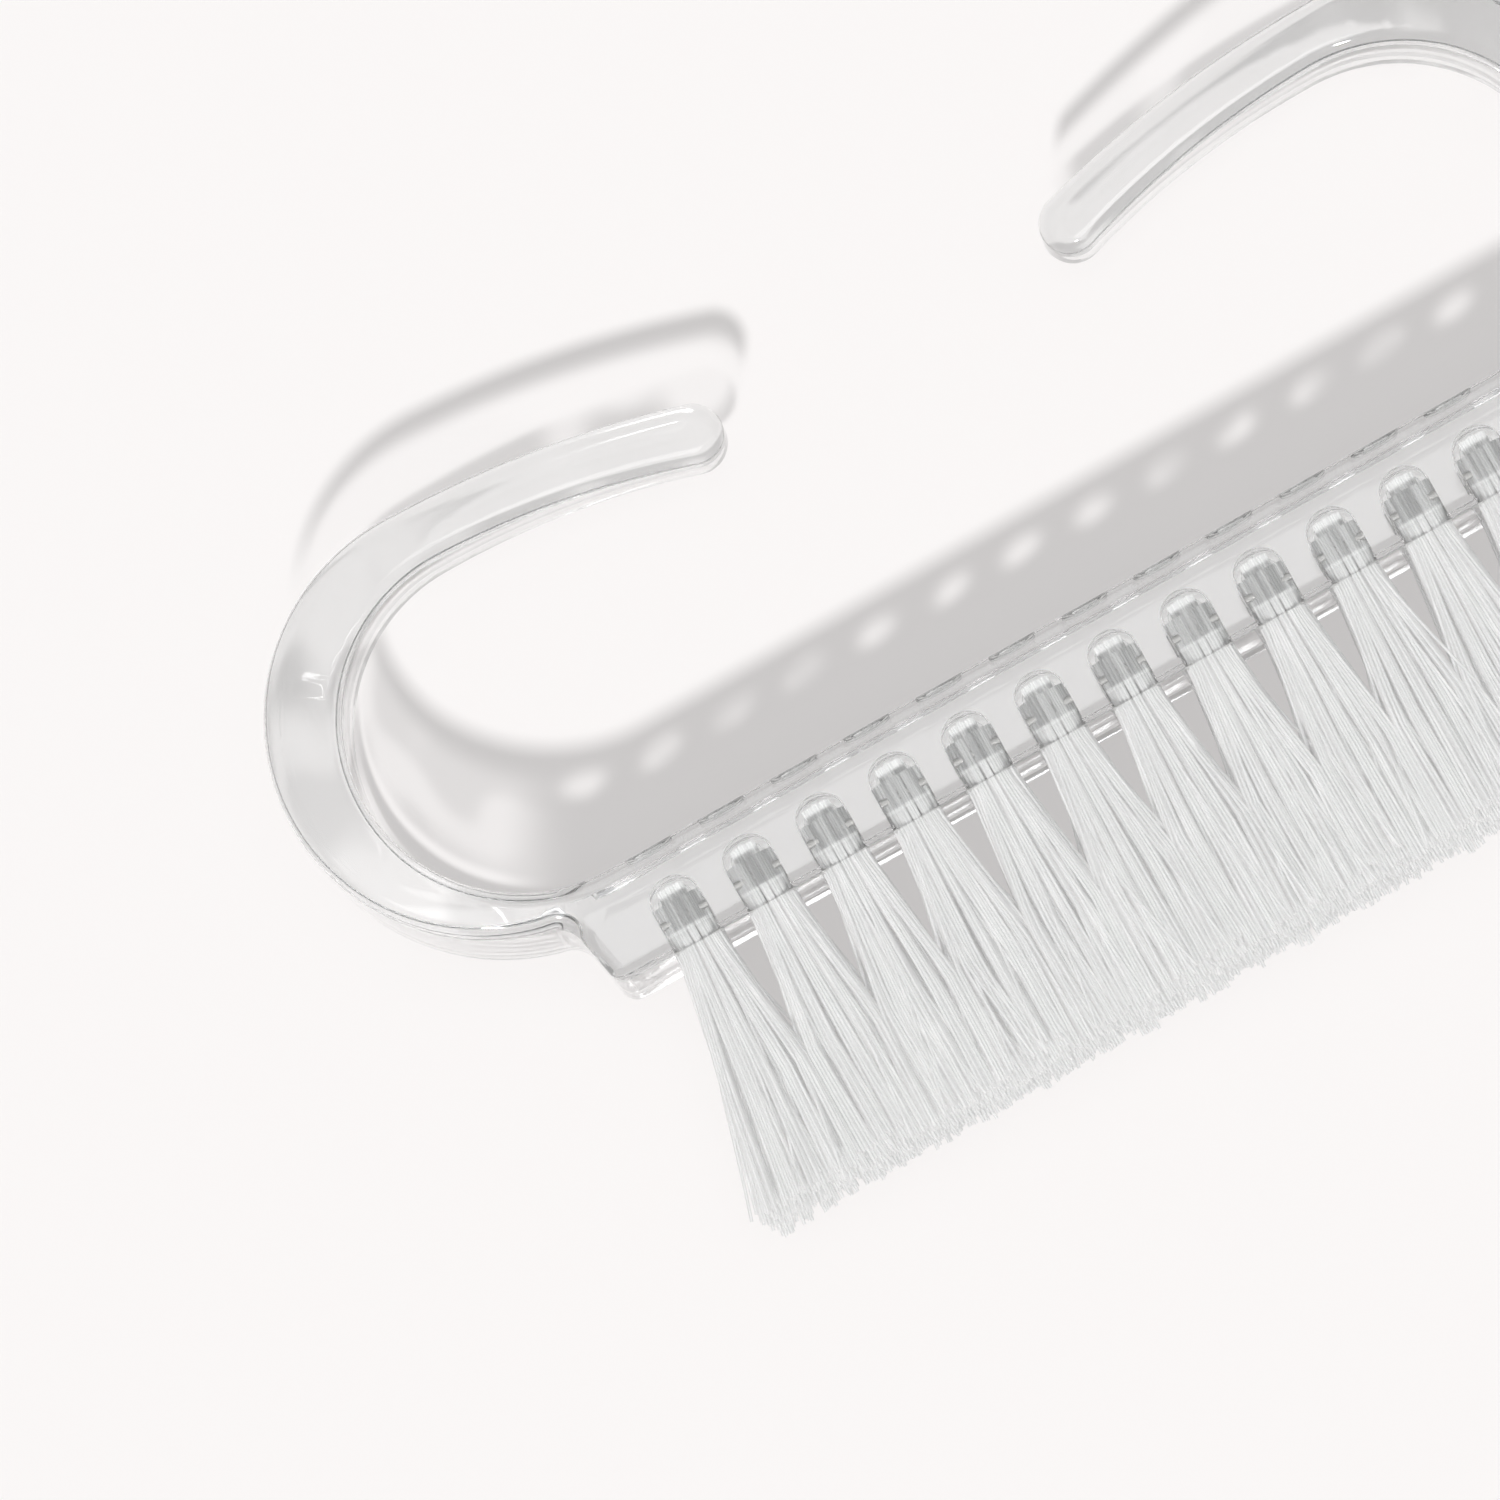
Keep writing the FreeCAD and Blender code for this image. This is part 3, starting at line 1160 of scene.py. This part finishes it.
@dataclass
class BristleTufts:
    """Bundles of nylon filaments in strands, which spread from the holes until the tufts meet."""

    sizes: BrushSizes
    finish: bpy.types.Material
    strands_across: int = 5
    filaments: int = 7
    filament_radius: float = 0.08
    filament_sides: int = 5
    filament_points: int = 12
    spread_root_radius: float = 0.24
    spread_tip_radius: float = 0.46
    root_radius: float = 1.1
    tip_radius: float = 2.45
    strand_root_radius: float = 0.14
    strand_tip_radius: float = 0.26
    strand_shift: float = 0.07
    tuft_gap: float = 0.08
    grip_height: float = 2.2
    fold_rise: float = 0.75
    end_lean: float = 0.9
    row_lean: float = 0.3
    ragged: float = 0.07
    frayed: float = 0.03
    stray: float = 2.2
    stray_power: float = 7.0
    bend_power: float = 1.6
    turn_step: float = 3.0
    seed_step: float = 10000.0
    table_gap: float = 0.02

    def tree(self) -> bpy.types.NodeTree:
        """Builds the node tree that grows one tuft.

        Returns:
            The tree, with its sizes as named inputs.
        """
        inputs = {
            "Int": ("Strands Across", "Filaments", "Points", "Sides", "First Strand"),
            "Float": (
                "Filament Radius",
                "Spread Root",
                "Spread Tip",
                "Shift",
                "Meeting",
                "Grip",
                "Fold Rise",
                "Length",
                "Ragged",
                "Frayed",
                "Stray",
            ),
            "Vector": (
                "Root",
                "Root Span",
                "Meeting Middle",
                "Meeting Span",
                "Tip Middle",
                "Tip Span",
                "Room Low",
                "Room High",
            ),
            "Material": ("Material",),
        }
        tree, desk, given = new_tree("filament_bundle", inputs)
        line = desk.add("GeometryNodeCurvePrimitiveLine").outputs[0]
        cut = {"Curve": line, "Count": given["Points"]}
        strand = desk.add("GeometryNodeResampleCurve", cut).outputs[0]
        strands = desk.math("POWER", given["Strands Across"], 2.0)
        bundle = {"Geometry": strand, "Amount": desk.math("MULTIPLY", strands, given["Filaments"])}
        copies = desk.add("GeometryNodeDuplicateElements", bundle, domain="SPLINE").outputs
        place = self.filament_place(desk, given, copies["Duplicate Index"])
        spread = {"Geometry": copies[0], "Position": place}
        moved = desk.add("GeometryNodeSetPosition", spread).outputs[0]
        circle = {"Resolution": given["Sides"], "Radius": given["Filament Radius"]}
        ring = desk.add("GeometryNodeCurvePrimitiveCircle", circle).outputs[0]
        sweep = {"Curve": moved, "Profile Curve": ring, "Fill Caps": True}
        tubes = desk.add("GeometryNodeCurveToMesh", sweep).outputs[0]
        finish_tree(desk, tubes, given["Material"])
        return tree

    def draw(self, desk: NodeDesk, given: Any, number: Any, use: Draw) -> bpy.types.NodeSocket:
        """Adds one random number from 0 to 1 for each filament.

        Args:
            desk: Desk of the tree.
            given: Outputs of the group input.
            number: Number of the filament.
            use: What the number decides.

        Returns:
            The output socket.
        """
        seed = desk.math("ADD", given["First Strand"], self.seed_step * use.value)
        limits = {2: 0.0, 3: 1.0, "ID": number, "Seed": seed}
        return desk.add("FunctionNodeRandomValue", limits, data_type="FLOAT").outputs[1]

    def strand_places(self, desk: NodeDesk, given: Any, strand: Any) -> tuple[Any, Any, Any]:
        """Adds the place of a strand across its tuft, round at the root and square further out.

        Args:
            desk: Desk of the tree.
            given: Outputs of the group input.
            strand: Number of the strand in its tuft.

        Returns:
            The sockets of the round place, the square place and the ring from 0 to 1.
        """
        across = given["Strands Across"]
        half = desk.math("DIVIDE", desk.math("SUBTRACT", across, 1.0), 2.0)
        column = desk.math("FLOOR", desk.math("DIVIDE", strand, across))
        row = desk.math("SUBTRACT", strand, desk.math("MULTIPLY", column, across))
        u = desk.math("SUBTRACT", desk.math("DIVIDE", column, half), 1.0)
        v = desk.math("SUBTRACT", desk.math("DIVIDE", row, half), 1.0)
        square = desk.add("ShaderNodeCombineXYZ", {0: u, 2: v}).outputs[0]
        ring = desk.math("MAXIMUM", desk.math("ABSOLUTE", u), desk.math("ABSOLUTE", v))
        ahead = desk.add("ShaderNodeVectorMath", {0: square}, operation="NORMALIZE").outputs[0]
        reach = {0: ahead, "Scale": ring}
        scaled = desk.add("ShaderNodeVectorMath", reach, operation="SCALE").outputs[0]
        return scaled, square, ring

    def circle(self, desk: NodeDesk, turn: Any, radius: Any) -> bpy.types.NodeSocket:
        """Adds a sideways step of a given radius at an angle round the filaments.

        Args:
            desk: Desk of the tree.
            turn: Angle.
            radius: Radius.

        Returns:
            The vector socket.
        """
        step_x = desk.math("MULTIPLY", desk.math("COSINE", turn), radius)
        step_z = desk.math("MULTIPLY", desk.math("SINE", turn), radius)
        return desk.add("ShaderNodeCombineXYZ", {0: step_x, 2: step_z}).outputs[0]

    def filament_place(self, desk: NodeDesk, given: Any, number: Any) -> bpy.types.NodeSocket:
        """Adds the sums that place each point of each filament.

        Args:
            desk: Desk of the tree.
            given: Outputs of the group input.
            number: Number of the filament in its tuft.

        Returns:
            The position socket.
        """
        strand = desk.math("FLOOR", desk.math("DIVIDE", number, given["Filaments"]))
        earlier = desk.math("MULTIPLY", strand, given["Filaments"])
        member = desk.math("SUBTRACT", number, earlier)
        strand_place = self.strand_places(desk, given, strand)
        turns = desk.math("MULTIPLY", desk.math("ADD", given["First Strand"], strand), GOLDEN_RATIO)
        turn = desk.math("MULTIPLY", turns, FULL_TURN)

        drop = self.filament_drop(desk, given, number, turns, strand_place[2])
        out = desk.math("MAXIMUM", desk.math("DIVIDE", drop, given["Length"]), 0.0)
        axis = self.strand_axis(desk, given, strand_place, out)

        filled = desk.math("DIVIDE", desk.math("ADD", member, HALF), given["Filaments"])
        width = desk.blend(given["Spread Root"], given["Spread Tip"], out)
        room = desk.math("SUBTRACT", width, given["Filament Radius"])
        first_turn = desk.math("MULTIPLY", turn, self.turn_step)
        own_turn = desk.math("ADD", desk.math("MULTIPLY", member, GOLDEN_ANGLE), first_turn)
        aside = self.circle(desk, own_turn, desk.math("MULTIPLY", desk.math("SQRT", filled), room))
        shift = self.circle(desk, turn, desk.math("MULTIPLY", given["Shift"], out))
        bend = desk.math("MULTIPLY", desk.math("POWER", out, self.bend_power), given["Stray"])
        chance = desk.math("POWER", self.draw(desk, given, number, Draw.STRAY), self.stray_power)
        heading = desk.math("MULTIPLY", self.draw(desk, given, number, Draw.HEADING), FULL_TURN)
        loose = self.circle(desk, heading, desk.math("MULTIPLY", chance, bend))

        inner = desk.vector("ADD", axis, aside)
        offset = desk.vector("ADD", inner, desk.vector("ADD", shift, loose))
        low_enough = desk.vector("MINIMUM", given["Room High"], offset)
        kept = desk.vector("MAXIMUM", given["Room Low"], low_enough)
        down = desk.add("ShaderNodeCombineXYZ", {1: desk.math("MULTIPLY", drop, -1.0)}).outputs[0]
        return desk.vector("ADD", given["Root"], desk.vector("ADD", kept, down))

    def filament_drop(
        self, desk: NodeDesk, given: Any, number: Any, turns: Any, ring: Any
    ) -> bpy.types.NodeSocket:
        """Adds how far a point of a filament lies outside its hole, from the fold to the tip.

        Args:
            desk: Desk of the tree.
            given: Outputs of the group input.
            number: Number of the filament in its tuft.
            turns: Turns of the strand, which tell strands apart.
            ring: Ring of the strand from 0 to 1.

        Returns:
            The output socket, negative inside the hole.
        """
        cut_short = desk.math("MULTIPLY", desk.math("FRACT", turns), given["Ragged"])
        worn = desk.math("MULTIPLY", self.draw(desk, given, number, Draw.WEAR), given["Frayed"])
        whole = desk.math("SUBTRACT", desk.math("SUBTRACT", 1.0, cut_short), worn)
        length = desk.math("MULTIPLY", given["Length"], whole)
        crown = desk.math("SQRT", desk.math("SUBTRACT", 1.0, desk.math("MULTIPLY", ring, ring)))
        fold = desk.math("ADD", given["Grip"], desk.math("MULTIPLY", crown, given["Fold Rise"]))
        share = desk.add("GeometryNodeSplineParameter").outputs["Factor"]
        along = desk.math("MULTIPLY", share, desk.math("ADD", fold, length))
        return desk.math("SUBTRACT", along, fold)

    def strand_axis(
        self, desk: NodeDesk, given: Any, strand_place: Sequence[Any], out: Any
    ) -> bpy.types.NodeSocket:
        """Adds the sideways place of a strand, which spreads less once the tufts have met.

        Args:
            desk: Desk of the tree.
            given: Outputs of the group input.
            strand_place: Sockets of the strand's round place, square place and ring.
            out: Share of the length outside the hole.

        Returns:
            The vector socket.
        """
        round_place, square_place, _ = strand_place
        root = desk.vector("MULTIPLY", round_place, given["Root Span"])
        meeting_spread = desk.vector("MULTIPLY", square_place, given["Meeting Span"])
        meeting = desk.vector("ADD", given["Meeting Middle"], meeting_spread)
        tip_spread = desk.vector("MULTIPLY", square_place, given["Tip Span"])
        tip = desk.vector("ADD", given["Tip Middle"], tip_spread)
        upper = desk.math("MINIMUM", desk.math("DIVIDE", out, given["Meeting"]), 1.0)
        past = desk.math("MAXIMUM", desk.math("SUBTRACT", out, given["Meeting"]), 0.0)
        lower = desk.math("DIVIDE", past, desk.math("SUBTRACT", 1.0, given["Meeting"]))
        return desk.path(desk.path(root, meeting, upper), tip, lower)

    def outward(self, number: int, count: int) -> int:
        """Side of the grid that a row or column lies on: -1 first, 1 last, 0 inside."""
        return (number == count) - (number == 1)

    @property
    def room(self) -> float:
        """Half the width that a tuft has between its neighbours."""
        return (self.sizes.pitch - self.tuft_gap) / 2

    @property
    def meeting_share(self) -> float:
        """Share of the length at which neighbouring tufts meet."""
        return (self.room - self.root_radius) / (self.tip_radius - self.root_radius)

    def reach(self, share: float, side: int, lean: float) -> tuple[float, float]:
        """Middle and half width of a tuft at a share of its length, in one direction.

        Args:
            share: Share of the length.
            side: Side of the grid that the tuft lies on.
            lean: How far the free side leans out at the tip.

        Returns:
            The middle's distance from the hole's axis and the half width.
        """
        spread = self.tip_radius - self.root_radius
        held = min(self.root_radius + share * spread, self.room)
        free = self.root_radius + share * (spread + lean)
        low = free if side < 0 else held
        high = free if side > 0 else held
        return (high - low) / 2, (high + low) / 2

    def settings(self, row: int, column: int, x: float, depth: float) -> dict[str, Any]:
        """Sizes of one tuft for the tree's inputs.

        Args:
            row: Row number.
            column: Column number.
            x: Place along the brush.
            depth: Place through the depth.

        Returns:
            Values by input name.
        """
        sizes = self.sizes
        side_x = self.outward(column, sizes.columns)
        side_z = self.outward(row, sizes.rows)
        middles = {}
        spans = {}
        for stage, share in (("Meeting", self.meeting_share), ("Tip", 1.0)):
            margin = self.strand_tip_radius * share + self.strand_root_radius * (1 - share)
            margin += self.strand_shift * share
            middle_x, span_x = self.reach(share, side_x, self.end_lean)
            middle_z, span_z = self.reach(share, side_z, self.row_lean)
            middles[stage] = Vector((middle_x, 0.0, middle_z)) * MM
            spans[stage] = Vector((span_x - margin, 0.0, span_z - margin)) * MM
        root_span = self.root_radius - self.strand_root_radius
        clear = self.filament_radius + self.table_gap
        unbound = sizes.block_length
        first_tuft = (row - 1) * sizes.columns + column - 1
        return {
            "Strands Across": self.strands_across,
            "Filaments": self.filaments,
            "Points": self.filament_points,
            "Sides": self.filament_sides,
            "First Strand": first_tuft * self.strands_across ** 2,
            "Filament Radius": self.filament_radius * MM,
            "Spread Root": self.spread_root_radius * MM,
            "Spread Tip": self.spread_tip_radius * MM,
            "Shift": self.strand_shift * MM,
            "Meeting": self.meeting_share,
            "Grip": self.grip_height * MM,
            "Fold Rise": self.fold_rise * MM,
            "Length": sizes.bristle_length * MM,
            "Ragged": self.ragged,
            "Frayed": self.frayed,
            "Stray": self.stray * MM,
            "Root": sizes.place(x, 0.0, depth),
            "Root Span": Vector((root_span, 0.0, root_span)) * MM,
            "Meeting Middle": middles["Meeting"],
            "Meeting Span": spans["Meeting"],
            "Tip Middle": middles["Tip"],
            "Tip Span": spans["Tip"],
            "Room Low": Vector((-unbound, 0.0, clear - depth)) * MM,
            "Room High": Vector((unbound, 0.0, sizes.block_depth - clear - depth)) * MM,
            "Material": self.finish,
        }

    def build(self) -> list[tuple[bpy.types.Object, str]]:
        """Grows every tuft.

        Returns:
            Each tuft with the name of the solid that it stands for.
        """
        tree = self.tree()
        tufts = []
        for row, column, x, depth in self.sizes.tuft_places():
            name = f"row{row}_{column:02d}"
            tuft = grow(f"bristles_{name}", tree, self.settings(row, column, x, depth))
            smooth(tuft)
            tufts.append((tuft, f"tuft_{name}"))
        return tufts

    def dress(self, tufts: Sequence[tuple[bpy.types.Object, str]]) -> None:
        """Puts every tuft in place of its solid.

        Args:
            tufts: Tufts with the names of their solids.
        """
        for tuft, node in tufts:
            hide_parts(node)
            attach(tuft, ROOT_BODY)
            pass_soft_light(tuft)


@dataclass
class AnchorWires:
    """Short lengths of flat wire with rounded edges, one across each tuft."""

    sizes: BrushSizes
    finish: bpy.types.Material
    length: float = 2.28
    height: float = 1.65
    thickness: float = 0.35
    rounding: float = 0.13
    rounding_steps: int = 4
    top: float = 2.2

    def tree(self) -> bpy.types.NodeTree:
        """Builds the node tree that lays one row of wires.

        Returns:
            The tree, with its sizes as named inputs.
        """
        inputs = {
            "Int": ("Count", "Rounding Steps"),
            "Float": ("Height", "Thickness", "Rounding"),
            "Vector": ("First", "Step", "Half Length"),
            "Material": ("Material",),
        }
        tree, desk, given = new_tree("anchor_row", inputs)
        row = {"Count": given["Count"], "Start Location": given["First"], "Offset": given["Step"]}
        places = desk.add("GeometryNodeMeshLine", row).outputs[0]
        back = desk.vector("MULTIPLY", given["Half Length"], (-1.0, -1.0, -1.0))
        ends = {"Start": back, "End": given["Half Length"]}
        line = desk.add("GeometryNodeCurvePrimitiveLine", ends).outputs[0]
        bar = {"Width": given["Thickness"], "Height": given["Height"]}
        section = desk.add("GeometryNodeCurvePrimitiveQuadrilateral", bar).outputs[0]
        corners = {"Curve": section, "Count": given["Rounding Steps"], "Radius": given["Rounding"]}
        rounded = desk.add("GeometryNodeFilletCurve", corners, mode="POLY").outputs[0]
        sweep = {"Curve": line, "Profile Curve": rounded, "Fill Caps": True}
        wire = desk.add("GeometryNodeCurveToMesh", sweep).outputs[0]
        copies = {"Points": places, "Instance": wire}
        wires = desk.add("GeometryNodeInstanceOnPoints", copies).outputs[0]
        finish_tree(desk, wires, given["Material"])
        return tree

    def build(self) -> list[tuple[bpy.types.Object, str]]:
        """Lays every row of wires.

        Returns:
            Each row with the name of the solids that it stands for.
        """
        sizes = self.sizes
        tree = self.tree()
        rows = []
        for row, column, x, depth in sizes.tuft_places():
            if column > 1:
                continue
            values = {
                "Count": sizes.columns,
                "Rounding Steps": self.rounding_steps,
                "Height": self.height * MM,
                "Thickness": self.thickness * MM,
                "Rounding": self.rounding * MM,
                "First": sizes.place(x, self.top - self.height / 2, depth),
                "Step": Vector((sizes.pitch * MM, 0.0, 0.0)),
                "Half Length": Vector((self.length / 2 * MM, 0.0, 0.0)),
                "Material": self.finish,
            }
            wires = grow(f"anchor_wires_row{row}", tree, values)
            rows.append((wires, f"anchors_row{row}"))
        return rows

    def dress(self, rows: Sequence[tuple[bpy.types.Object, str]]) -> None:
        """Puts every row in place of its solids.

        Args:
            rows: Rows with the names of their solids.
        """
        for wires, node in rows:
            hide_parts(node)
            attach(wires, ROOT_BODY)
            pass_soft_light(wires)


@dataclass
class Studio:
    """Table, lamp, surrounding light and the camera of the photograph.

    The sensor and the aim on the brush are in millimetres, and the other distances in metres.
    """

    sizes: BrushSizes
    table_finish: bpy.types.Material
    table_reach: float = 6.0
    table_drop: float = 0.00002
    photo_pixels: int = 1500
    pixels_per_mm: float = 22.7
    sensor: float = 36.0
    camera_distance: float = 1.0
    camera_tilt: float = math.radians(5.4)
    # Slope of the block across the photograph.
    picture_turn: float = math.atan2(0.489, 0.872)
    aim: tuple[float, float, float] = (-14.2, 6.2, 13.0)
    lamp_direction: tuple[float, float, float] = (-0.30, -0.42, 0.857)
    lamp_angle: float = math.radians(4.0)
    lamp_power: float = 1.36
    sky_low: float = 0.22
    sky_high: float = 0.7
    sky_power: float = 2.0
    softbox_power: float = 2.5
    softbox_edge: float = math.cos(math.radians(18.0))
    softbox_core: float = math.cos(math.radians(12.0))

    def table(self) -> bpy.types.Object:
        """Lays the table under the brush.

        Returns:
            The table.
        """
        build = bmesh.new()
        bmesh.ops.create_grid(build, x_segments=1, y_segments=1, size=self.table_reach)
        bmesh.ops.translate(build, verts=build.verts, vec=(0.0, 0.0, -self.table_drop))
        table = link_object("table", mesh_from("table", build))
        table.data.materials.append(self.table_finish)
        return table

    def camera(self) -> bpy.types.Object:
        """Sets up the camera of the photograph.

        Returns:
            The camera.
        """
        data = bpy.data.cameras.new("photo_camera")
        width = self.photo_pixels / self.pixels_per_mm * MM
        data.sensor_width = self.sensor
        data.lens = self.sensor * self.camera_distance / width
        camera = bpy.data.objects.new("photo_camera", data)
        bpy.context.scene.collection.objects.link(camera)
        tilt = self.camera_tilt
        towards = Vector((0.0, -math.sin(tilt), math.cos(tilt)))
        level_up = Vector((0.0, math.cos(tilt), math.sin(tilt)))
        level_right = Vector((1.0, 0.0, 0.0))
        turn = self.picture_turn
        right = level_right * math.cos(turn) - level_up * math.sin(turn)
        up = level_right * math.sin(turn) + level_up * math.cos(turn)
        stand = self.sizes.place(*self.aim) + towards * self.camera_distance
        stance = Matrix((right, up, towards)).transposed().to_4x4()
        camera.matrix_world = Matrix.Translation(stand) @ stance
        bpy.context.scene.camera = camera
        return camera

    def lamp(self) -> bpy.types.Object:
        """Hangs the key lamp.

        Returns:
            The lamp.
        """
        data = bpy.data.lights.new("key_lamp", "SUN")
        data.energy = self.lamp_power
        data.angle = self.lamp_angle
        lamp = bpy.data.objects.new("key_lamp", data)
        bpy.context.scene.collection.objects.link(lamp)
        towards = Vector(self.lamp_direction).normalized()
        lamp.location = towards
        lamp.rotation_euler = towards.to_track_quat("Z", "Y").to_euler()
        return lamp

    def sky(self) -> None:
        """Surrounds the brush with soft light that grows upwards, with a round soft box overhead."""
        world = bpy.data.worlds.new("pale_room")
        bpy.context.scene.world = world
        world.use_nodes = True
        world.node_tree.nodes.clear()
        desk = NodeDesk(world.node_tree)
        look = desk.add("ShaderNodeTexCoord").outputs["Generated"]
        rise = desk.axes(look)[2]
        overhead = desk.math("POWER", desk.math("MAXIMUM", rise, 0.0), self.sky_power)
        glow = desk.blend(self.sky_low, self.sky_high, overhead)
        in_box = desk.ramp(rise, self.softbox_edge, self.softbox_core)
        level = desk.math("ADD", glow, desk.math("MULTIPLY", in_box, self.softbox_power))
        light = desk.add("ShaderNodeBackground", {"Color": (1.0, 1.0, 1.0, 1.0), "Strength": level})
        desk.add("ShaderNodeOutputWorld", {"Surface": light.outputs[0]})

    def build(self) -> None:
        """Builds the whole studio."""
        self.table()
        self.camera()
        self.lamp()
        self.sky()
        bpy.context.scene.view_settings.view_transform = "Standard"


def main() -> None:
    """Builds the pieces in order and reports each one."""
    logging.basicConfig(level=logging.INFO, format="%(name)s: %(message)s")
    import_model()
    sizes = BrushSizes()

    Studio(sizes, TableTop().build("pale_table")).build()
    LOG.info("studio ready")

    plastic = ClearPlastic()
    outside = plastic.build("clear_moulding", sizes, True)
    hole_wall = plastic.hole_wall().build("clear_hole_wall", sizes, False)
    moulding = MouldedBody(sizes, outside, hole_wall)
    body = moulding.build()
    moulding.dress(body)
    LOG.info("%s: %d faces", body.name, len(body.data.polygons))

    bristles = BristleTufts(sizes, NylonFilament().build(sizes))
    tufts = bristles.build()
    bristles.dress(tufts)
    for tuft, node in tufts:
        LOG.info("%s for %s: %d faces", tuft.name, node, len(tuft.data.polygons))

    anchors = AnchorWires(sizes, AnchorMetal().build())
    rows = anchors.build()
    anchors.dress(rows)
    for wires, node in rows:
        LOG.info("%s for %s: %d faces", wires.name, node, len(wires.data.polygons))


if __name__ == "__main__":
    main()
